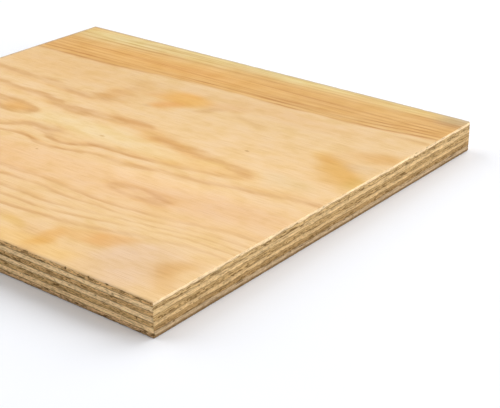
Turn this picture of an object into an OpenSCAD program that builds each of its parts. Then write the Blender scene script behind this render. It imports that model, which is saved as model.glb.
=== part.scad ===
// Cut panel of seven-ply pine plywood, lying flat with its good face up.
// Seven peeled veneers are glued one on another, and each has its grain square to the next.
// The grain of the face runs along X. The origin is the centre of the underside, and +Z is up.

/* [Sheet] */
// Length of the sheet, along the grain of its face
sheet_l = 300; // [100:5:2440]
// Width of the sheet, across the grain of its face
sheet_w = 270; // [100:5:1220]

/* [Plies] */
// Thickness of the face veneer, after sanding
face_t = 2.5; // [1.2:0.1:4]
// Thickness of the back veneer, after sanding
back_t = 2.5; // [1.2:0.1:4]
// Thickness of each crossband, whose grain runs along Y
crossband_t = 2.6; // [1.2:0.1:4]
// Thickness of each inner ply whose grain runs along X
core_t = 2.6; // [1.2:0.1:4]

/* [Edges] */
// Width of the arris that sanding takes off the edges of the face and of the back
arris = 0.4; // [0.1:0.1:1]

/* [Hidden] */

// The veneers' thicknesses, from the underside up, in the order of NODES
layup = [back_t, crossband_t, core_t, crossband_t, core_t, crossband_t, face_t];

// Height of a ply's underside above the floor
function ply_z(ply) = ply == 0 ? 0 : ply_z(ply - 1) + layup[ply - 1];

// A veneer's section across a span, eased along its two upper edges
module eased_section(span, t) {
    half = span / 2;
    polygon([
        [-half, 0], [half, 0], [half, t - arris], [half - arris, t],
        [arris - half, t], [-half, t - arris]
    ]);
}

// An inner veneer, sawn square all round
module square_ply(ply) {
    translate([-sheet_l / 2, -sheet_w / 2, ply_z(ply)])
        cube([sheet_l, sheet_w, layup[ply]]);
}

// An outer veneer of thickness t, resting on z = 0 with its four upper edges eased
module eased_ply(t) {
    intersection() {
        rotate([90, 0, 0])
            linear_extrude(height = sheet_w, center = true) eased_section(sheet_l, t);
        rotate([90, 0, 90])
            linear_extrude(height = sheet_l, center = true) eased_section(sheet_w, t);
    }
}

module back_veneer() {
    color("peru") translate([0, 0, back_t]) mirror([0, 0, 1]) eased_ply(back_t);
}

module lower_crossband() {
    color("tan") square_ply(1);
}

module lower_core() {
    color("burlywood") square_ply(2);
}

module middle_crossband() {
    color("tan") square_ply(3);
}

module upper_core() {
    color("burlywood") square_ply(4);
}

module upper_crossband() {
    color("tan") square_ply(5);
}

module face_veneer() {
    color("navajowhite") translate([0, 0, ply_z(6)]) eased_ply(face_t);
}

back_veneer();
lower_crossband();
lower_core();
middle_crossband();
upper_core();
upper_crossband();
face_veneer();
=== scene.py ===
import math
import random

import bmesh
import bpy
import numpy as np
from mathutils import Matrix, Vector, noise


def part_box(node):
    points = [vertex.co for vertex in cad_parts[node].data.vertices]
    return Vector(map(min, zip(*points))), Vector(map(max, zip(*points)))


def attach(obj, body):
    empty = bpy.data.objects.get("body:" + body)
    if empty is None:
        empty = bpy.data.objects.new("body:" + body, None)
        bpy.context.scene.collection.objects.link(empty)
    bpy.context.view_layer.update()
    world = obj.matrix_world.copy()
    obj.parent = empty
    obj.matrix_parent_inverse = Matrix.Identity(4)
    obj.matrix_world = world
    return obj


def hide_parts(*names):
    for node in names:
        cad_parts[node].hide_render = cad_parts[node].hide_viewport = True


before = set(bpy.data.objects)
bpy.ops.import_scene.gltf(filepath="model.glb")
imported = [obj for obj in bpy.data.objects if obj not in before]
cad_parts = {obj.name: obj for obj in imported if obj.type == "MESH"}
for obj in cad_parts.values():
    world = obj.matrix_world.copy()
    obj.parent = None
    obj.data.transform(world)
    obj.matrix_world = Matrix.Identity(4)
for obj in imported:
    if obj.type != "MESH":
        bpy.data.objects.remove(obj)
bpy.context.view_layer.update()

# The camera stands before the near corner of the sheet and looks down over its good face.
# Its lens and its angles are the ones that put the sheet's edge lines where the picture has them.
MM = 0.001
picture_pixels = 500
focal_pixels = 1275
sensor_width = 36.0
camera_place = Vector((474.4, -479.1, 281.8)) * MM
camera_dip = math.radians(24.83)
camera_turn = math.radians(38.33)

camera_lens = bpy.data.cameras.new("studio_camera")
camera_lens.sensor_width = sensor_width
camera_lens.lens = sensor_width * focal_pixels / picture_pixels
camera = bpy.data.objects.new("studio_camera", camera_lens)
camera.location = camera_place
camera.rotation_euler = (math.radians(90) - camera_dip, 0, camera_turn)
bpy.context.scene.collection.objects.link(camera)
bpy.context.scene.camera = camera

# The floor is a matt white board under the sheet, wide enough to fill the view from every side.
# A white sky lights it all round. Wide soft lights stand behind the sheet and at its left,
# and a low one stands at its right. Each has its place and width in metres and its power in watts.
floor_span = 8.0
floor_white = (0.93, 0.945, 0.985, 1)
floor_roughness = 0.9
sky_white = (1.0, 1.0, 1.0, 1)
sky_strength = 0.21
soft_lights = [
    ("back_light", Vector((0.43, 3.04, 2.86)), 4.6, 152.0),
    ("left_light", Vector((-3.31, -0.76, 2.47)), 4.85, 112.0),
    ("side_light", Vector((2.02, 0.54, 0.68)), 1.1, 21.5),
]

floor_board = bmesh.new()
bmesh.ops.create_grid(floor_board, x_segments=1, y_segments=1, size=floor_span / 2)
floor_mesh = bpy.data.meshes.new("studio_floor")
floor_board.to_mesh(floor_mesh)
floor_board.free()
floor_paint = bpy.data.materials.new("floor_paint")
floor_paint.use_nodes = True
floor_shader = floor_paint.node_tree.nodes["Principled BSDF"]
floor_shader.inputs["Base Color"].default_value = floor_white
floor_shader.inputs["Roughness"].default_value = floor_roughness
floor_shader.inputs["Specular IOR Level"].default_value = 0.0
floor_mesh.materials.append(floor_paint)
floor = bpy.data.objects.new("studio_floor", floor_mesh)
bpy.context.scene.collection.objects.link(floor)

sky = bpy.data.worlds.new("studio_sky")
sky.use_nodes = True
sky.node_tree.nodes["Background"].inputs["Color"].default_value = sky_white
sky.node_tree.nodes["Background"].inputs["Strength"].default_value = sky_strength
bpy.context.scene.world = sky

for name, light_place, width, power in soft_lights:
    lamp = bpy.data.lights.new(name, "AREA")
    lamp.shape = "DISK"
    lamp.size = width
    lamp.energy = power
    light = bpy.data.objects.new(name, lamp)
    light.location = light_place
    light.rotation_euler = (-light_place).to_track_quat("-Z", "Y").to_euler()
    bpy.context.scene.collection.objects.link(light)

bpy.context.scene.view_settings.view_transform = "Standard"

# The back veneer is the lowest ply, peeled from a pine log in one long ribbon and laid grain along X.
# It is sanded less than the face, its lower edges are eased, and the saw has cut all four of its edges.
LONG_RUN, CROSS_RUN, UPRIGHT = 0, 1, 2
BROAD_FACE, LONG_EDGE, END_EDGE = 0, 1, 2
ARRIS = 0.4 * MM
EDGE_STEP = MM / 3
EDGE_ROWS = 10
OUTER_CELL = 2 * MM
HAIR = 0.01 * MM


def read_each(parts, name, width=1, kind=np.float32):
    """A value, or a row of that width, from each of a mesh's points, corners or faces."""
    values = np.empty(len(parts) * width, dtype=kind)
    parts.foreach_get(name, values)
    return values if width == 1 else values.reshape(-1, width)


def store_each(mesh, name, values):
    """Stores a number for each point of a mesh under that name."""
    mesh.attributes.new(name, "FLOAT", "POINT").data.foreach_set("value", values.astype(np.float32))


def lay_flat(mesh, low, size, shown_side):
    """Gives a square-cut veneer its surface map: a shown broad face gets most of it, and edges get strips.
    The shown side is 1 for the upper face, -1 for the lower one, and 0 where both are glued and hidden."""
    corner = read_each(mesh.loops, "vertex_index", kind=np.int32)
    share = (read_each(mesh.vertices, "co", 3)[corner] - np.array(low)) / np.array(size)
    corners = read_each(mesh.polygons, "loop_total", kind=np.int32)
    slots = np.repeat(read_each(mesh.polygons, "material_index", kind=np.int32), corners)
    facing = np.repeat(read_each(mesh.polygons, "normal", 3), corners, axis=0)
    # A room on the map is its left, its bottom, its width and its height.
    if shown_side == 0:
        strips = [(0.004, 0.004 + 0.2 * number, 0.992, 0.19) for number in range(4)]
        broad_rooms = {-1: (0.004, 0.815, 0.48, 0.18), 1: (0.516, 0.815, 0.48, 0.18)}
    else:
        strips = [(0.2, 0.815 + 0.045 * number, 0.796, 0.04) for number in range(4)]
        broad_rooms = {shown_side: (0.004, 0.004, 0.992, 0.80), -shown_side: (0.004, 0.815, 0.18, 0.18)}
    flat = np.zeros((len(corner), 2), dtype=np.float32)
    for side in (-1, 1):
        rooms = [
            (BROAD_FACE, UPRIGHT, LONG_RUN, CROSS_RUN, broad_rooms[side]),
            (LONG_EDGE, CROSS_RUN, LONG_RUN, UPRIGHT, strips[1 + side]),
            (END_EDGE, LONG_RUN, CROSS_RUN, UPRIGHT, strips[2 + side]),
        ]
        for slot, axis, across, up, (left, bottom, width, height) in rooms:
            chosen = (slots == slot) & (facing[:, axis] * side > 0)
            flat[chosen, 0] = left + width * share[chosen, across]
            flat[chosen, 1] = bottom + height * share[chosen, up]
    mesh.uv_layers.new(name="OFBake").data.foreach_set("uv", flat.ravel())


def peel_veneer(node, cell, shown_side=0):
    """A veneer in the place of its node: a sheet of square cells, with fine columns and rows down its edges.
    The edges of its shown side are eased."""
    low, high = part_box(node)
    size = high - low
    veneer = bmesh.new()
    columns = round(size.x / cell)
    rows = round(size.y / cell)
    bmesh.ops.create_grid(veneer, x_segments=columns, y_segments=rows, size=0.5)
    bmesh.ops.scale(veneer, vec=(size.x, size.y, 1), verts=veneer.verts)
    bmesh.ops.translate(veneer, vec=((low.x + high.x) / 2, (low.y + high.y) / 2, low.z), verts=veneer.verts)
    thickened = bmesh.ops.extrude_face_region(veneer, geom=veneer.faces[:])
    upper = [part for part in thickened["geom"] if isinstance(part, bmesh.types.BMVert)]
    bmesh.ops.translate(veneer, vec=(0, 0, size.z), verts=upper)
    bmesh.ops.recalc_face_normals(veneer, faces=veneer.faces[:])
    if shown_side != 0:
        eased_z = high.z if shown_side == 1 else low.z
        rim = [
            edge for edge in veneer.edges
            if edge.calc_face_angle(0) > math.radians(60)
            and all(abs(vert.co.z - eased_z) < HAIR for vert in edge.verts)
        ]
        bmesh.ops.bevel(veneer, geom=rim, offset=ARRIS, segments=2, profile=0.5, affect="EDGES", material=-1)

    def along_rim(edge, axis):
        """Whether an edge runs level in one of the two sawn faces that cross this axis, or on its arris."""
        first, last = edge.verts[0].co, edge.verts[1].co
        level = abs(first.z - last.z) < HAIR and abs(first[axis] - last[axis]) < HAIR
        return level and min(first[axis] - low[axis], high[axis] - first[axis]) < ARRIS + HAIR

    level_edges = [edge for edge in veneer.edges if along_rim(edge, LONG_RUN) or along_rim(edge, CROSS_RUN)]
    bmesh.ops.subdivide_edges(veneer, edges=level_edges, cuts=round(cell / EDGE_STEP) - 1)
    upright_edges = [
        edge for edge in veneer.edges if abs(edge.verts[0].co.z - edge.verts[1].co.z) > size.z / 2
    ]
    bmesh.ops.subdivide_edges(veneer, edges=upright_edges, cuts=EDGE_ROWS - 1)
    veneer.normal_update()
    for face in veneer.faces:
        face.smooth = True
        if abs(face.normal.z) > 0.3:
            face.material_index = BROAD_FACE
        elif abs(face.normal.y) > abs(face.normal.x):
            face.material_index = LONG_EDGE
        else:
            face.material_index = END_EDGE
    mesh = bpy.data.meshes.new(node + "_ply")
    veneer.to_mesh(mesh)
    veneer.free()
    mesh.set_sharp_from_angle(angle=math.radians(50))
    lay_flat(mesh, low, size, shown_side)
    return mesh


def streak_noise(run, height, length, thickness, layer):
    """Noise at points of a sawn edge, in streaks of that length and thickness in millimetres."""
    return np.array([noise.noise((r / length, h / thickness, layer)) for r, h in zip(run, height)])


def draw_tears(draw, count, span, thick, lengths, heights, depths):
    """Torn spots at random along an edge: place, height, half length, half height and depth."""
    return [
        (
            draw.uniform(-span / 2, span / 2), draw.uniform(0, thick),
            draw.uniform(*lengths), draw.uniform(*heights), draw.uniform(*depths),
        )
        for _ in range(count)
    ]


def tear_depth(run, height, tears):
    """How deep the torn spots go at points of a sawn edge."""
    depth = np.zeros(len(run))
    for place, level, half_length, half_height, deepest in tears:
        reach = ((run - place) / half_length) ** 2 + ((height - level) / half_height) ** 2
        depth = np.maximum(depth, deepest * np.clip(1 - reach, 0, 1))
    return depth


# Sizes on the sawn edges are in millimetres. The saw marks turn and slant by radians a millimetre,
# and drift by radians. A relief is its mean depth and its streaks, each with a depth, a length and
# a thickness. Tears have their spacing, then the least and the most half length, half height and depth.
SIDE_GRAIN_RELIEF = (0.08, [(0.05, 9, 0.4), (0.04, 2.2, 0.25)])
SIDE_GRAIN_TEARS = [(4, (0.8, 3.5), (0.2, 0.55), (0.15, 0.5)), (30, (0.3, 0.6), (0.4, 1.0), (0.2, 0.5))]
END_GRAIN_RELIEF = (0.05, [(0.025, 1.2, 0.5), (0.02, 18, 0.7)])
END_GRAIN_TEARS = [(14, (0.4, 1.6), (0.2, 0.45), (0.1, 0.35))]
SAW_MARK_DEPTH = 0.02
SAW_MARK_TURN = 3.4
SAW_MARK_SLANT = 0.9
SAW_DRIFT = 3
SAW_DRIFT_LENGTH = 31
CORNER_WEAR = 0.08
CORNER_REACH = 0.45
SEAM_REACH = 0.12
SEAM_DEPTH = 0.03
OPEN_SEAM_DEPTH = 0.12
OPEN_SEAM_LENGTH = 16
DARK_TEAR_DEPTH = 0.3
# The painted shade along the sheet's foot: its height and blur on the ends in millimetres, and its strength
# on the long edges.
END_FOOT_SHADE_HEIGHT = 1.45
END_FOOT_SHADE_BLUR = 0.15
LONG_FOOT_SHADE = 0.7


def saw_edges(mesh, node, grain, glued_below, glued_above, seed, known_tears=()):
    """Cuts the saw's marks, torn fibres and open glue lines into a veneer's four edges, inwards only.
    It stores how dark each point is, from torn spots (dirt and painted shade), open glue lines and painted
    shade along the sheet's foot, how far from the nearest glue line, and how high above the lower one."""
    low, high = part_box(node)
    thick = (high.z - low.z) / MM
    flat_place = read_each(mesh.vertices, "co", 3)
    place = flat_place.copy()
    torn_and_shaded = np.zeros(len(place), dtype=np.float32)
    height = (flat_place[:, UPRIGHT] - low.z) / MM
    to_glue = np.full(len(place), thick, dtype=np.float32)
    rise = np.full(len(place), 2 * thick, dtype=np.float32)
    if glued_below:
        to_glue = np.minimum(to_glue, height)
        rise = height
    if glued_above:
        to_glue = np.minimum(to_glue, thick - height)
    draw = random.Random(seed)
    for axis in (LONG_RUN, CROSS_RUN):
        run_axis = CROSS_RUN if axis == LONG_RUN else LONG_RUN
        span = (high[run_axis] - low[run_axis]) / MM
        if grain == run_axis:
            (mean_depth, streaks), tear_kinds = SIDE_GRAIN_RELIEF, SIDE_GRAIN_TEARS
        else:
            (mean_depth, streaks), tear_kinds = END_GRAIN_RELIEF, END_GRAIN_TEARS
        for side, limit in ((-1, low[axis]), (1, high[axis])):
            layer = draw.uniform(0, 50)
            on_edge = np.abs(flat_place[:, axis] - limit) < ARRIS + HAIR
            run = flat_place[on_edge, run_axis] / MM
            level = height[on_edge]
            relief = mean_depth
            for number, (streak_depth, length, thickness) in enumerate(streaks):
                relief = relief + streak_depth * streak_noise(run, level, length, thickness, layer + number)
            drift = SAW_DRIFT * np.sin(run / SAW_DRIFT_LENGTH)
            saw_marks = SAW_MARK_DEPTH * (1 + np.sin(SAW_MARK_TURN * run + SAW_MARK_SLANT * level + drift))
            to_corner = span / 2 - np.abs(run)
            corner_wear = CORNER_WEAR * np.exp(-(to_corner / CORNER_REACH) ** 2)
            tears = []
            for spacing, *ranges in tear_kinds:
                tears += draw_tears(draw, round(span / spacing), span, thick, *ranges)
            tears += [tear[2:] for tear in known_tears if tear[:2] == (axis, side)]
            tear = tear_depth(run, level, tears)
            seam = np.exp(-(to_glue[on_edge] / SEAM_REACH) ** 2)
            seam_open = np.clip(1.6 * streak_noise(run, level * 0, OPEN_SEAM_LENGTH, 1, layer + 3), 0, 1)
            seam_depth = seam * (SEAM_DEPTH + OPEN_SEAM_DEPTH * seam_open)
            depth = np.clip(relief + saw_marks + corner_wear, 0, None) + tear + seam_depth
            place[on_edge, axis] -= side * depth * MM
            # Tears darken as dirt and as painted shade in their hollows, open glue lines as glue.
            darkness = np.clip(tear / DARK_TEAR_DEPTH + 0.5 * seam * seam_open, 0, 1)
            torn_and_shaded[on_edge] = np.maximum(torn_and_shaded[on_edge], darkness)
            # Painted shade darkens the sheet's foot: a band on its ends, only a rim on its long edges.
            if not glued_below:
                if axis == LONG_RUN:
                    foot_shade = 1 / (1 + np.exp((level - END_FOOT_SHADE_HEIGHT) / END_FOOT_SHADE_BLUR))
                else:
                    foot_shade = LONG_FOOT_SHADE * np.exp(-level ** 2)
                torn_and_shaded[on_edge] = np.maximum(torn_and_shaded[on_edge], foot_shade)
    mesh.vertices.foreach_set("co", place.ravel())
    store_each(mesh, "torn_and_shaded", torn_and_shaded)
    store_each(mesh, "to_glue", to_glue)
    store_each(mesh, "rise", rise)
    mesh.update()


def add_node(tree, kind, inputs=None, **settings):
    """A shader node of that kind, with its settings, and its inputs set to values or joined to sockets."""
    node = tree.nodes.new("ShaderNode" + kind)
    for name, value in settings.items():
        setattr(node, name, value)
    for name, value in (inputs or {}).items():
        if isinstance(value, bpy.types.NodeSocket):
            tree.links.new(value, node.inputs[name])
        else:
            node.inputs[name].default_value = value
    return node


def calculate(tree, operation, *values):
    """The result of a sum on sockets and numbers."""
    return add_node(tree, "Math", dict(enumerate(values)), operation=operation).outputs[0]


def grade(tree, value, start, end, low, high):
    """A value that goes from low to high as the given one goes from start to end."""
    limits = {"Value": value, "From Min": start, "From Max": end, "To Min": low, "To Max": high}
    return add_node(tree, "MapRange", limits).outputs["Result"]


def lay_over(tree, share, below, above, how="MIX"):
    """A colour laid over another one to that share."""
    node = add_node(tree, "Mix", {0: share, 6: below, 7: above}, data_type="RGBA", blend_type=how)
    return node.outputs[2]


def colour_scale(tree, value, stops):
    """The colour at a value on a scale of stops, each with its place and its colour."""
    scale = add_node(tree, "ValToRGB", {"Fac": value})
    marks = scale.color_ramp.elements
    for mark, (place, colour) in zip(marks, stops[:2]):
        mark.position = place
        mark.color = (*colour, 1)
    for place, colour in stops[2:]:
        marks.new(place).color = (*colour, 1)
    return scale.outputs["Color"]


def shades(colour, steps):
    """Stops of a colour scale, each a place on it and that share of the colour."""
    return [(place, tuple(share * part for part in colour)) for place, share in steps]


def stored(tree, name, output="Fac"):
    """What the veneer's mesh stores under that name."""
    return add_node(tree, "Attribute", attribute_name=name).outputs[output]


def grain_noise(tree, sizes, shift=0.0, detail=2.0):
    """Noise whose blotches measure that many millimetres along X, Y and Z."""
    place = add_node(tree, "TexCoord").outputs["Object"]
    scale = [1 / (size * MM) for size in sizes]
    moved = add_node(tree, "Mapping", {"Vector": place, "Location": (shift, shift, shift), "Scale": scale})
    pattern = {"Vector": moved.outputs[0], "Scale": 1.0, "Detail": detail}
    return add_node(tree, "TexNoise", pattern).outputs["Fac"]


def wood(name):
    """A new matt wood material, its node tree and its shader."""
    material = bpy.data.materials.new(name)
    material.use_nodes = True
    tree = material.node_tree
    shader = tree.nodes["Principled BSDF"]
    shader.inputs["Specular IOR Level"].default_value = 0.06
    return material, tree, shader


def raise_grain(tree, shader, height, depth):
    """Lets a height from 0 to 1 stand out of a surface by that depth in millimetres."""
    bump = add_node(tree, "Bump", {"Height": height, "Strength": 1.0, "Distance": depth * MM})
    tree.links.new(bump.outputs["Normal"], shader.inputs["Normal"])


# The brown of glue, also used for painted shade in tears and along the sheet's foot.
GLUE_AND_SHADE_BROWN = (0.17, 0.095, 0.03, 1)
FRAYED_BROWN = (0.25, 0.13, 0.04, 1)
PALE_END_GRAIN = (0.84, 0.57, 0.30)
DARK_SIDE_GRAIN = (0.55, 0.34, 0.145)
SIDE_GRAIN_TONES = [(0.32, 0.30), (0.44, 0.78), (0.55, 1.14)]
END_GRAIN_TONES = [(0.32, 0.50), (0.44, 0.87), (0.54, 1.07), (0.68, 1.34)]
DRAGGED_TONES = [(0.32, 0.5), (0.45, 0.86), (0.6, 1.12)]


def edge_sizes(run_axis, length, thickness):
    """Sizes of a streak on a sawn edge that runs along that axis."""
    depth = 60
    return (length, depth, thickness) if run_axis == LONG_RUN else (depth, length, thickness)


def finish_edge(tree, shader, colour, height, neighbour, drag):
    """Darkens an edge at its glue lines, where it is torn (dirt and painted shade) and along the sheet's foot
    (painted shade), and gives it roughness and fine relief.
    On a long edge the neighbour's colour reaches in unevenly. On an end the neighbour is the ply below,
    which the saw has dragged up by that many millimetres."""
    wander = grain_noise(tree, (7, 7, 3), 8.0, 4.0)
    if drag > 0:
        smear = grade(tree, wander, 0.35, 0.68, drag - 0.3, drag + 0.3)
        above_smear = calculate(tree, "SUBTRACT", stored(tree, "rise"), smear)
        dragged = colour_scale(tree, height, shades(neighbour, DRAGGED_TONES))
        colour = lay_over(tree, grade(tree, above_smear, -0.12, 0.12, 0.92, 0.0), colour, dragged)
        from_glue = calculate(tree, "ABSOLUTE", above_smear)
    else:
        from_glue = stored(tree, "to_glue")
        reach = calculate(tree, "DIVIDE", from_glue, grade(tree, wander, 0.35, 0.68, 0.02, 0.45))
        colour = lay_over(tree, grade(tree, reach, 0.5, 1.0, 0.8, 0.0), colour, (*neighbour, 1))
    seep = grain_noise(tree, (9, 9, 3), 14.0, 3.0)
    nearness = calculate(tree, "DIVIDE", from_glue, grade(tree, seep, 0.35, 0.65, 0.05, 0.45))
    colour = lay_over(tree, grade(tree, nearness, 0.3, 1.0, 0.65, 0.0), colour, GLUE_AND_SHADE_BROWN)
    frayed = grain_noise(tree, (1.5, 1.5, 0.4), 3.0)
    # Tears hold dirt and painted shade, and the sheet's foot gets painted shade, all in the same brown.
    torn_and_shaded_share = calculate(tree, "MULTIPLY", stored(tree, "torn_and_shaded"), grade(tree, frayed, 0.3, 0.6, 0.6, 0.95))
    colour = lay_over(tree, torn_and_shaded_share, colour, GLUE_AND_SHADE_BROWN)
    tree.links.new(colour, shader.inputs["Base Color"])
    tree.links.new(grade(tree, height, 0.2, 0.8, 0.85, 0.65), shader.inputs["Roughness"])
    raise_grain(tree, shader, height, 0.15)


def side_grain_edge(name, run_axis, colour, neighbour, drag=0.0):
    """The edge of a ply whose fibres run along it: dark and streaky, with frayed specks."""
    material, tree, shader = wood(name)
    long_fibres = grain_noise(tree, edge_sizes(run_axis, 10, 0.8), 0.0, 3.0)
    short_fibres = grain_noise(tree, edge_sizes(run_axis, 2.5, 0.5), 5.0, 3.0)
    fibres = lay_over(tree, 0.5, long_fibres, short_fibres)
    streaks = colour_scale(tree, fibres, shades(colour, SIDE_GRAIN_TONES) + [(0.70, neighbour)])
    specks = grain_noise(tree, edge_sizes(run_axis, 2.0, 0.45), 9.0, 3.0)
    streaks = lay_over(tree, grade(tree, specks, 0.56, 0.64, 0.0, 0.9), streaks, GLUE_AND_SHADE_BROWN)
    finish_edge(tree, shader, streaks, fibres, neighbour, drag)
    return material


def end_grain_edge(name, run_axis, colour, neighbour, frayed_share, drag=0.0):
    """The edge of a ply whose fibres are cut across: pale, with ring lines, pores and frayed dashes."""
    material, tree, shader = wood(name)
    ring_lines = grain_noise(tree, edge_sizes(run_axis, 16, 0.9), 1.0, 3.0)
    pores = grain_noise(tree, edge_sizes(run_axis, 2.4, 0.8), 6.0, 4.0)
    cut_fibres = lay_over(tree, 0.5, ring_lines, pores)
    streaks = colour_scale(tree, cut_fibres, shades(colour, END_GRAIN_TONES))
    dashes = grain_noise(tree, edge_sizes(run_axis, 2.6, 0.45), 9.0, 3.0)
    streaks = lay_over(tree, grade(tree, dashes, 0.55, 0.64, 0.0, frayed_share), streaks, FRAYED_BROWN)
    finish_edge(tree, shader, streaks, cut_fibres, neighbour, drag)
    return material


def edge_woods(node, grain, long_colour, end_colour, end_below, drag, frayed_share=0.45):
    """The materials of a ply's long edges and of its ends, by the way its grain runs.
    The ends also show the colour of the ply below, where the saw has dragged it up."""
    long_name = node + "_long_edge"
    end_name = node + "_end"
    if grain == LONG_RUN:
        long_edge = side_grain_edge(long_name, LONG_RUN, long_colour, PALE_END_GRAIN)
        end_edge = end_grain_edge(end_name, CROSS_RUN, end_colour, end_below, frayed_share, drag)
    else:
        long_edge = end_grain_edge(long_name, LONG_RUN, long_colour, DARK_SIDE_GRAIN, frayed_share)
        end_edge = side_grain_edge(end_name, CROSS_RUN, end_colour, end_below, drag)
    return long_edge, end_edge


def add_ply(mesh, node, slot, surface, long_edge, end_edge):
    """Puts a finished veneer in the place of its node, with its surface and its two kinds of edge."""
    for material in (surface, long_edge, end_edge):
        mesh.materials.append(material)
    ply = bpy.data.objects.new(node + "_ply", mesh)
    bpy.context.scene.collection.objects.link(ply)
    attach(ply, "root")
    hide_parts(node)


def ring_depth(lines, stretch, x, y):
    """Depth into the growth rings at points of a veneer, counted in rings and smooth between known lines.
    The lines' points are in millimetres, and the stretch draws the figure out along X."""
    known = np.array([(px / stretch, py) for _, points in lines for px, py in points])
    depths = np.array([depth for depth, points in lines for _ in points])

    def bend(from_points, to_points):
        """How much each of the second points bends the figure at each of the first."""
        gap = ((from_points[:, None] - to_points[None]) ** 2).sum(-1)
        return 0.5 * gap * np.log(gap + 1e-9)

    count = len(known)
    plane = np.c_[np.ones(count), known]
    system = np.zeros((count + 3, count + 3))
    system[:count, :count] = bend(known, known)
    system[:count, count:] = plane
    system[count:, :count] = plane.T
    weights = np.linalg.solve(system, np.r_[depths, np.zeros(3)])
    wanted = np.c_[x / stretch, y]
    parts = np.array_split(wanted, 8)
    bent = np.concatenate([bend(part, known) @ weights[:count] for part in parts])
    return bent + weights[count] + wanted @ weights[count + 1:]


def patch_share(x, y, patch):
    """How far points lie inside a soft oval patch, from 1 at its middle to 0 well outside."""
    middle_x, middle_y, half_length, half_width, turn, hardness = patch
    turn = math.radians(turn)
    along = ((x - middle_x) * math.cos(turn) + (y - middle_y) * math.sin(turn)) / half_length
    across = ((y - middle_y) * math.cos(turn) - (x - middle_x) * math.sin(turn)) / half_width
    return np.exp(-(along ** 2 + across ** 2) ** hardness)


def grow_figure(mesh, lines, stretch, clear_patches=(), tints=(), strip=None, shaded_rim_sides=()):
    """Stores the figure of a peeled veneer: ring depth, how plainly the rings show, tint, and the distance to
    the rim that painted shade darkens.
    A strip is the depth where a late band starts, the depth where it is full, its lowest Y and its tint."""
    place = read_each(mesh.vertices, "co", 3)
    x, y = place[:, LONG_RUN] / MM, place[:, CROSS_RUN] / MM
    depth = ring_depth(lines, stretch, x, y)
    wavy_x = x + 5 * streak_noise(x, y, 26, 11, 1.5)
    wavy_y = y + 3 * streak_noise(x, y, 22, 9, 7.5)
    shown = np.ones(len(x))
    for *patch, clarity in clear_patches:
        shown += (clarity - shown) * patch_share(wavy_x, wavy_y, patch)
    tint = np.ones((len(x), 4))
    for *patch, colour in tints:
        tint[:, :3] *= 1 + (np.array(colour) - 1) * patch_share(wavy_x, wavy_y, patch)[:, None]
    late = np.zeros(len(x))
    if strip is not None:
        start, full, lowest, colour = strip
        late = np.clip((depth - start) / (full - start), 0, 1) * (y > lowest)
        tint[:, :3] *= 1 + (np.array(colour) - 1) * late[:, None]
    to_rim = np.full(len(x), x.max())
    for axis, side in shaded_rim_sides:
        across = x if axis == LONG_RUN else y
        to_rim = np.minimum(to_rim, np.abs(across).max() - side * across)
    store_each(mesh, "ring_depth", depth)
    store_each(mesh, "rings_shown", shown)
    store_each(mesh, "late_wood", late)
    store_each(mesh, "to_shaded_rim", to_rim)
    colours = mesh.attributes.new("tint", "FLOAT_COLOR", "POINT")
    colours.data.foreach_set("color", tint.astype(np.float32).ravel())


PAINTED_SHEEN = (0.04, 0.033, 0.042, 1)
UNCHANGED = (1.0, 1.0, 1.0)
LATE_TONES = [(0.36, (0.88, 0.81, 0.70)), (0.47, UNCHANGED), (0.62, (1.07, 1.13, 1.24))]
FIBRE_TONES = [(0.3, (0.95, 0.93, 0.90)), (0.5, UNCHANGED), (0.7, (1.02, 1.03, 1.06))]
HAIR_TONES = [(0.36, (0.91, 0.87, 0.79)), (0.47, UNCHANGED), (0.66, (1.03, 1.045, 1.07))]
BLOTCH_TONES = [(0.35, (0.96, 0.935, 0.83)), (0.5, UNCHANGED), (0.65, (1.01, 1.03, 1.12))]


def tone(tree, colour, pattern, tones, share=1.0):
    """A colour made darker and lighter by a pattern, through a scale of tones."""
    return lay_over(tree, share, colour, colour_scale(tree, pattern, tones), "MULTIPLY")


def pin_knot(tree, colour, x, y, radius, knot_colour):
    """A colour with a small knot on it, twice as long as it is wide, placed and sized in millimetres."""
    place = add_node(tree, "TexCoord").outputs["Object"]
    centred = {"Vector": place, "Location": (-x * MM / 2, -y * MM, 0), "Scale": (0.5, 1, 0)}
    from_knot = add_node(tree, "Mapping", centred).outputs[0]
    reach = add_node(tree, "VectorMath", {0: from_knot}, operation="LENGTH").outputs["Value"]
    inside = grade(tree, reach, 0.3 * radius * MM, radius * MM, 0.7, 0.0)
    return lay_over(tree, inside, colour, (*knot_colour, 1))


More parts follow.
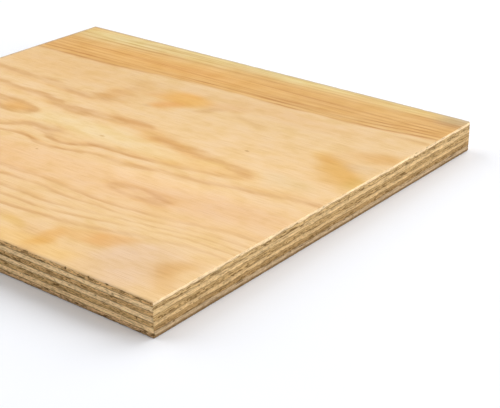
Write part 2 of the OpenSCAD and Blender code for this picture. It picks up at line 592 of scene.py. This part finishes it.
def peeled_face(name, ring_colours, plain, rim_shade_colour, rim_width, knots=()):
    """The broad face of a veneer: growth rings in its stored figure, fine fibres along X, pin knots and a
    painted sheen.
    Its rim is darkened by painted shade over that width in millimetres."""
    material, tree, shader = wood(name)
    wander = grain_noise(tree, (14, 4, 20), 2.0)
    tremble = grain_noise(tree, (6, 1.2, 20), 4.0)
    depth = calculate(tree, "ADD", stored(tree, "ring_depth"), grade(tree, wander, 0.2, 0.8, -0.09, 0.09))
    depth = calculate(tree, "ADD", depth, grade(tree, tremble, 0.2, 0.8, -0.02, 0.02))
    rings = colour_scale(tree, calculate(tree, "FRACT", depth), ring_colours)
    uneven = grade(tree, grain_noise(tree, (30, 6, 20), 12.0, 3.0), 0.36, 0.60, 0.4, 1.0)
    shown = calculate(tree, "MULTIPLY", stored(tree, "rings_shown"), uneven)
    colour = lay_over(tree, shown, (*plain, 1), rings)
    colour = lay_over(tree, 1.0, colour, stored(tree, "tint", "Color"), "MULTIPLY")
    late_streaks = grain_noise(tree, (120, 2.4, 20), 17.0, 3.0)
    colour = tone(tree, colour, late_streaks, LATE_TONES, stored(tree, "late_wood"))
    broad_fibres = grain_noise(tree, (60, 2, 20), 6.0)
    fine_fibres = grain_noise(tree, (25, 0.5, 20), 7.0, 3.0)
    fibres = lay_over(tree, 0.6, broad_fibres, fine_fibres)
    colour = tone(tree, colour, fibres, FIBRE_TONES)
    hairlines = grain_noise(tree, (13, 0.24, 20), 19.0)
    colour = tone(tree, colour, hairlines, HAIR_TONES)
    blotches = grain_noise(tree, (17, 10, 20), 11.0, 5.0)
    colour = tone(tree, colour, blotches, BLOTCH_TONES)
    # A painted sheen: a pale haze added evenly over the face.
    colour = lay_over(tree, 1.0, colour, PAINTED_SHEEN, "ADD")
    for knot in knots:
        colour = pin_knot(tree, colour, *knot)
    # Painted shade over the rim
    rim_shade = grade(tree, stored(tree, "to_shaded_rim"), 0.4, rim_width, 0.8, 0.0)
    colour = lay_over(tree, rim_shade, colour, (*rim_shade_colour, 1))
    tree.links.new(colour, shader.inputs["Base Color"])
    tree.links.new(grade(tree, fibres, 0.3, 0.7, 0.62, 0.5), shader.inputs["Roughness"])
    raise_grain(tree, shader, lay_over(tree, 0.3, fibres, hairlines), 0.03)
    return material


# A ring line is its depth in rings and points along it in millimetres.
FIGURE_STRETCH = 2.2
back_rings = [
    (1, [(-150, -8), (-60, -4), (20, -6), (60, -14), (20, -24), (-60, -30), (-150, -32)]),
    (2, [(-150, 18), (-60, 22), (40, 18), (110, 0), (120, -16), (60, -36), (-40, -46), (-150, -50)]),
    (3, [(-150, 46), (-40, 50), (60, 46), (150, 30)]),
    (3, [(-150, -72), (-40, -66), (60, -60), (150, -44)]),
    (4, [(-150, 72), (0, 78), (150, 66)]),
    (4, [(-150, -94), (0, -88), (150, -72)]),
    (6, [(-150, 108), (0, 112), (150, 104)]),
    (6, [(-150, -124), (0, -120), (150, -108)]),
]
back_ring_colours = [
    (0.0, (0.52, 0.32, 0.14)),
    (0.06, (0.66, 0.45, 0.22)),
    (0.5, (0.70, 0.48, 0.245)),
    (0.92, (0.55, 0.34, 0.15)),
    (1.0, (0.52, 0.32, 0.14)),
]
back_plain = (0.68, 0.46, 0.23)
# Painted shade darkens the back's rim, along the sheet's lower edges where they stand on the floor.
back_rim_shade_colour = (0.12, 0.075, 0.045)
back_rim_width = 0.9
back_long_colour = (0.81, 0.515, 0.26)
# Its end colour is darker than the cut-across ends higher up: partly its own tone, partly painted shade near
# the floor.
back_end_colour = (0.52, 0.375, 0.22)
back_drag = 0.9
all_sides = [(LONG_RUN, -1), (LONG_RUN, 1), (CROSS_RUN, -1), (CROSS_RUN, 1)]

back_mesh = peel_veneer("back_veneer", OUTER_CELL, shown_side=-1)
saw_edges(back_mesh, "back_veneer", LONG_RUN, glued_below=False, glued_above=True, seed=11)
grow_figure(back_mesh, back_rings, FIGURE_STRETCH, shaded_rim_sides=all_sides)
back_face = peeled_face("back_face", back_ring_colours, back_plain, back_rim_shade_colour, back_rim_width)
# No ply lies below this one, so its own colour stands for that ply's.
back_edges = edge_woods(
    "back_veneer", LONG_RUN, back_long_colour, back_end_colour, back_end_colour, back_drag
)
add_ply(back_mesh, "back_veneer", "back_veneer", back_face, *back_edges)

# Five inner veneers lie on the back one, each with its grain square to the next: crossbands along Y,
# cores along X. Their broad faces are stained by glue and hidden, and only their sawn edges show.
INNER_CELL = 10 * MM


def glued_face(name):
    """The hidden face of an inner veneer, with a brown film of glue over its wood."""
    material, tree, shader = wood(name)
    film = grain_noise(tree, (18, 18, 18), 0.0, 4.0)
    colour = colour_scale(tree, film, [(0.35, (0.24, 0.14, 0.065)), (0.65, (0.42, 0.27, 0.125))])
    tree.links.new(colour, shader.inputs["Base Color"])
    raise_grain(tree, shader, film, 0.1)
    return material


# A ply is its node, its slot, its grain, the colours of its long edges and of its ends, and how far
# the ply below is dragged up over its ends, in millimetres. Within each kind the end colours are darker
# ply by ply towards the floor: partly the plies' own tones, partly painted shade.
inner_face = glued_face("glued_face")
inner_plies = [
    ("lower_crossband", "crossband", CROSS_RUN, (0.96, 0.68, 0.355), (0.415, 0.255, 0.102), 1.1),
    ("lower_core", "core_veneer", LONG_RUN, (0.65, 0.405, 0.166), (0.665, 0.452, 0.219), 1.0),
    ("middle_crossband", "crossband", CROSS_RUN, (0.94, 0.68, 0.365), (0.525, 0.34, 0.143), 0.7),
    ("upper_core", "core_veneer", LONG_RUN, (0.66, 0.40, 0.163), (0.69, 0.478, 0.237), 0.9),
    ("upper_crossband", "crossband", CROSS_RUN, (0.965, 0.69, 0.365), (0.585, 0.39, 0.174), 0.9),
]
end_below = back_end_colour
for seed, (node, slot, grain, long_colour, end_colour, drag) in enumerate(inner_plies, start=21):
    inner_mesh = peel_veneer(node, INNER_CELL)
    saw_edges(inner_mesh, node, grain, glued_below=True, glued_above=True, seed=seed)
    inner_edges = edge_woods(node, grain, long_colour, end_colour, end_below, drag)
    add_ply(inner_mesh, node, slot, inner_face, *inner_edges)
    end_below = end_colour

# The face veneer is the top ply, the good side: peeled pine, grain along X, sanded, its edges eased.
# The peeling cut goes in and out of the rings, so a tongue of early wood, wavy lines and an eye show on it.
face_rings = [
    # The tongue of early wood, from its eye outwards
    (2, [(-104, -6), (-82, -1), (-66, -3), (-59, -10), (-65, -15), (-80, -15), (-95, -11)]),
    (3, [
        (-150, 21), (-118, 18), (-95, 15), (-75, 16), (-62, 13), (-50, 7), (-40, 11), (-25, 10), (-12, 14),
        (5, 15), (20, 10), (35, 5), (55, 3), (75, 0), (90, -1), (98, -6), (95, -12), (80, -16), (60, -20),
        (40, -23), (22, -24), (11, -24), (0, -30), (-10, -34), (-20, -33), (-30, -26), (-38, -21), (-48, -27),
        (-60, -35), (-90, -46), (-150, -56),
    ]),
    (4, [
        (-150, 38), (-120, 35), (-95, 35.5), (-75, 33), (-55, 30), (-46, 36), (-42, 46), (-38, 60), (-28, 72),
        (-12, 79),
    ]),
    (4, [
        (-150, -68), (-90, -54), (-52, -40), (-36, -37.5), (-15, -41), (0, -38), (15, -34), (30, -34),
        (60, -29), (100, -22), (125, -18), (150, -13),
    ]),
    # The late strip along the far edge
    (4.6, [(-150, 75), (-70, 79), (-15, 84), (45, 85), (100, 88), (150, 94.5)]),
    (5, [
        (-150, 80), (-110, 81), (-70, 83), (-40, 86), (-15, 88), (15, 89), (45, 89), (75, 90.5), (100, 92),
        (125, 95), (150, 99),
    ]),
    (6, [(-150, 84.2), (-70, 87.2), (-15, 92), (45, 93.2), (100, 96.2), (150, 103)]),
    (7, [(-150, 88.4), (-70, 91.4), (-15, 96.2), (45, 97.4), (100, 100.4), (150, 107)]),
    (8, [(-150, 93), (-70, 96), (-15, 100.5), (45, 101.6), (100, 104.6), (150, 111)]),
    (10, [(-150, 101.5), (-70, 104.5), (-15, 109), (45, 110), (100, 113), (150, 119)]),
    (12, [(-150, 110), (-70, 113.5), (-15, 117.5), (45, 119), (100, 121.5), (150, 127)]),
    (14, [(-150, 119), (-70, 122.5), (-15, 126), (45, 128), (100, 130), (150, 135)]),
    # The small oval before the tongue, and the lines from there to the near edge
    (5, [(52, -58), (60, -54), (70, -52), (80, -54), (87, -57), (78, -60.5), (68, -61), (58, -60)]),
    (5, [(-150, -92), (-60, -82), (0, -74), (35, -74), (60, -75), (100, -71), (150, -62)]),
    (6, [(-150, -105), (-60, -92), (0, -81), (25, -80), (60, -80), (100, -76), (150, -70)]),
    (7, [(-60, -101), (10, -92), (40, -92), (70, -87), (100, -81), (150, -76)]),
    (8, [(-60, -112), (20, -99), (45, -98), (70, -93), (95, -86), (120, -81), (150, -80)]),
    (9, [(-60, -122), (20, -107), (50, -104), (80, -99), (100, -93), (125, -87), (150, -86)]),
    (10, [
        (-60, -130), (0, -118), (20, -114), (35, -115.5), (50, -118.5), (60, -122), (66, -128), (68, -134),
    ]),
    # Points between the lines, which hold the figure there
    (1.7, [(-78, -8)]),
    (2.45, [(-40, -8), (-10, -12), (20, -10), (50, -12), (-100, -25), (-130, 0)]),
    (2.75, [(-28, 3), (-10, 6), (6, 7), (22, 2), (42, -3), (60, -5), (85, -7)]),
    (3.4, [
        (30, 40), (60, 60), (60, 20), (100, 30), (100, 65), (120, 5), (140, -2), (0, 30), (130, 40),
        (146, 62), (-4, 60), (20, 60),
    ]),
    (3.6, [(12, 74), (35, 76), (60, 77), (90, 79), (120, 82), (146, 86)]),
    (4.4, [(-100, 58), (-70, 60), (-130, 60), (-60, 50)]),
    (4.45, [(0, -55), (100, -48), (120, -45), (-100, -75), (43, -58), (70, -46), (97, -57), (70, -67)]),
    (5.15, [(70, -57)]),
    (9.4, [
        (118, -112), (122, -126), (95, -112), (80, -130), (75, -112), (140, -100), (148, -112), (140, -126),
    ]),
    (10.4, [(40, -124), (0, -127), (52, -131)]),
]
# A patch is its middle's X and Y, its half length and half width in millimetres, its turn in degrees and
# its hardness. Here it ends with how plainly the rings show in it, and in the next list with its tint.
face_clarity = [
    # The whole face, then the tongue and the lines round it
    (0, 0, 400, 400, 0, 9.0, 0.55),
    (0, -8, 110, 45, -4, 2.5, 0.62),
    (0, -30, 75, 9, 9, 1.8, 0.85),
    (-44, 44, 14, 14, 0, 1.5, 0.4),
    (-12, 76, 50, 22, 25, 1.5, 0.1),
    (80, -30, 50, 8, 8, 1.5, 0.42),
    (72, -18, 30, 6, 8, 1.6, 0.36),
    # The near part
    (20, -60, 60, 14, 5, 1.5, 0.4),
    (110, -80, 55, 20, 9, 2.0, 0.28),
    (45, -117, 18, 7, -10, 1.5, 0.25),
    (64, -127, 16, 8, 0, 2.0, 0.0),
    # The late strip, plain but for some short lines
    (80, 82, 80, 7, 3, 2.0, 0.0),
    (0, 107, 220, 20, 2, 3.0, 0.12),
    (0, 131, 220, 8, 2, 3.0, 0.1),
    (-108, 84.5, 27, 4.5, 2, 2.0, 0.75),
    (-22, 89, 32, 3, 3, 2.0, 0.6),
    (50, 92, 18, 6, 1, 2.5, 0.9),
    (83, 94, 12, 4.5, 5, 2.0, 0.75),
    (125, 99, 34, 8.5, 7, 2.5, 0.95),
    (-75, 116, 38, 3.5, 2, 2.0, 0.6),
    (35, 121, 46, 4.5, 3, 2.0, 0.6),
    (128, 112, 10, 4, 5, 2.0, 0.5),
]
face_tints = [
    # The far part, paler and bluer along its edge, with a painted shade over its right corner
    (20, 120, 320, 95, 0, 2.0, (0.92, 0.93, 0.92)),
    (-125, 124, 42, 13, 2, 1.4, (1.08, 1.40, 1.9)),
    (-40, 132, 60, 13, 3, 1.2, (1.07, 1.40, 1.9)),
    (45, 134, 48, 11, 2, 1.3, (1.06, 1.38, 1.8)),
    (118, 132, 36, 9, 4, 1.3, (1.05, 1.28, 1.55)),
    (-60, 100, 90, 14, 4, 1.5, (1.07, 1.04, 0.95)),
    (-30, 102, 45, 6, 3, 1.6, (0.99, 0.96, 0.92)),
    (-100, 60, 60, 20, 0, 1.5, (0.98, 0.92, 0.82)),
    (60, 75, 60, 10, 0, 1.5, (0.98, 0.94, 0.92)),
    # A painted shade over the far right corner
    (148, 130, 14, 11, 30, 1.5, (0.80, 0.91, 1.30)),
    (95, 96, 60, 3.5, 5, 2.0, (1.04, 1.12, 1.32)),
    # The stain behind the tongue
    (-2, 61, 19, 11, 0, 1.9, (0.975, 0.79, 0.39)),
    (-4, 47, 9, 10, 60, 1.6, (0.98, 0.89, 0.72)),
    (-20, 57, 10, 5, 10, 1.6, (0.98, 0.92, 0.78)),
    (-3, 68, 9, 6, 20, 1.6, (1.03, 1.0, 0.98)),
    (-5, 47, 8, 6, 50, 1.6, (0.97, 0.86, 0.70)),
    (-12, 39, 3.5, 3, 0, 1.6, (0.90, 0.87, 0.84)),
    (-25, 58, 6, 5, 30, 1.5, (0.97, 0.93, 0.88)),
    (25, 64, 13, 7, 20, 1.9, (0.96, 0.89, 0.81)),
    (22, 54, 11, 3.5, 42, 1.6, (0.90, 0.84, 0.76)),
    (50, 56, 13, 4.5, -10, 1.6, (0.96, 0.93, 0.90)),
    # The stain near the end
    (130, 28, 25, 11, -37, 1.8, (0.89, 0.74, 0.36)),
    (146, 19, 8, 7, 0, 2.0, (0.93, 0.955, 0.80)),
    (117, 41, 9, 7, -45, 1.8, (0.97, 0.91, 0.76)),
    (140, 56, 17, 8.5, 18, 1.8, (0.90, 0.77, 0.52)),
    (142, 38, 11, 6, 10, 1.8, (0.93, 0.93, 0.94)),
    (111, 45, 7, 6, 0, 1.5, (1.03, 1.07, 1.10)),
    (134, 35, 7, 4, -30, 1.6, (1.0, 1.03, 1.24)),
    # The tongue and the wood round it
    (120, 0, 16, 8, 0, 1.5, (0.95, 0.98, 0.99)),
    (-72, -8, 14, 7, -10, 1.8, (0.95, 0.81, 0.55)),
    (-15, -9, 60, 12, 0, 1.6, (1.01, 1.10, 1.13)),
    (-45, 42, 8, 12, 0, 1.5, (0.98, 0.90, 0.72)),
    (-36, 58, 7, 16, 0, 1.5, (0.99, 0.96, 0.86)),
    (70, -8, 34, 12, 3, 1.5, (1.01, 0.99, 0.88)),
    (66, -16, 34, 5, 9, 1.6, (0.985, 0.95, 0.85)),
    (97, -7, 5, 8, 0, 1.6, (0.98, 0.94, 0.84)),
    (74, -5, 12, 4, -5, 1.5, (1.04, 1.10, 1.13)),
    (20, 6, 7, 3, -10, 1.5, (1.03, 1.08, 1.10)),
    (42, 5, 9, 3, -8, 1.5, (1.05, 1.09, 1.09)),
    (22, 7, 42, 6, -12, 1.6, (0.99, 0.91, 0.72)),
    # The bands before the tongue
    (20, -58, 150, 20, 6, 1.5, (1.0, 0.95, 0.94)),
    (72, -36, 48, 9, 6, 1.6, (1.04, 1.05, 1.06)),
    (120, -45, 40, 14, 6, 1.5, (0.97, 0.94, 0.96)),
    # The bent lines by the near corner
    (69, -119, 11, 6, 85, 2.0, (0.96, 0.84, 0.56)),
    (95, -103, 12, 5.5, 30, 2.0, (0.94, 0.79, 0.54)),
    (81, -108, 14, 6, 25, 1.6, (0.96, 0.86, 0.66)),
    (70, -128, 36, 8, 0, 2.0, (1.0, 0.945, 0.71)),
    (42, -117, 12, 3, -14, 2.0, (0.97, 0.93, 0.62)),
    (100, -86, 60, 11, 9, 1.5, (1.0, 1.015, 1.0)),
    (117, -114, 22, 24, 0, 2.2, (0.935, 0.94, 1.10)),
    (137, -105, 11, 7, 62, 1.5, (0.92, 0.83, 0.64)),
    (142, -117, 12, 7, -55, 1.5, (0.92, 0.83, 0.64)),
]
strip_start, strip_full, strip_lowest = 4.75, 5.05, 70
strip_tint = (0.885, 0.735, 0.45)
face_strip = (strip_start, strip_full, strip_lowest, strip_tint)
face_ring_colours = [
    (0.0, (0.56, 0.27, 0.062)),
    (0.04, (0.58, 0.29, 0.075)),
    (0.12, (0.765, 0.49, 0.22)),
    (0.20, (0.825, 0.57, 0.28)),
    (0.45, (0.825, 0.568, 0.278)),
    (0.62, (0.81, 0.53, 0.235)),
    (0.77, (0.735, 0.425, 0.15)),
    (0.89, (0.58, 0.29, 0.075)),
    (1.0, (0.56, 0.27, 0.062)),
]
face_plain = (0.825, 0.561, 0.272)
# Painted shade greys the face's rim along its two far edges.
face_rim_shade_colour = (0.50, 0.41, 0.31)
face_rim_width = 3.0
face_long_colour = (0.79, 0.485, 0.203)
# The face's end colour is the palest end: partly its own tone, partly a painted highlight along the top.
face_end_colour = (0.90, 0.665, 0.39)
face_drag = 0.5
face_frayed_share = 0.12
far_sides = [(LONG_RUN, -1), (CROSS_RUN, 1)]
# A knot is its X and Y, its radius and its colour. A split is the axis and side of its edge, its place
# along the edge, its height, half length, half height and depth.
pin_knots = [
    (77.2, 20.7, 1.0, (0.45, 0.21, 0.07)),
    (0, -12, 1.3, (0.64, 0.39, 0.15)),
    (-14.5, -47.5, 0.7, (0.55, 0.29, 0.10)),
]
face_splits = [
    (CROSS_RUN, -1, 97.2, 1.7, 0.7, 0.9, 0.6),
    (CROSS_RUN, -1, 111.6, 1.8, 0.6, 0.9, 0.6),
]

face_mesh = peel_veneer("face_veneer", OUTER_CELL, shown_side=1)
saw_edges(
    face_mesh, "face_veneer", LONG_RUN, glued_below=True, glued_above=False, seed=31, known_tears=face_splits
)
grow_figure(face_mesh, face_rings, FIGURE_STRETCH, face_clarity, face_tints, face_strip, far_sides)
good_face = peeled_face(
    "good_face", face_ring_colours, face_plain, face_rim_shade_colour, face_rim_width, pin_knots
)
face_edges = edge_woods(
    "face_veneer", LONG_RUN, face_long_colour, face_end_colour, end_below, face_drag, face_frayed_share
)
add_ply(face_mesh, "face_veneer", "face_veneer", good_face, *face_edges)
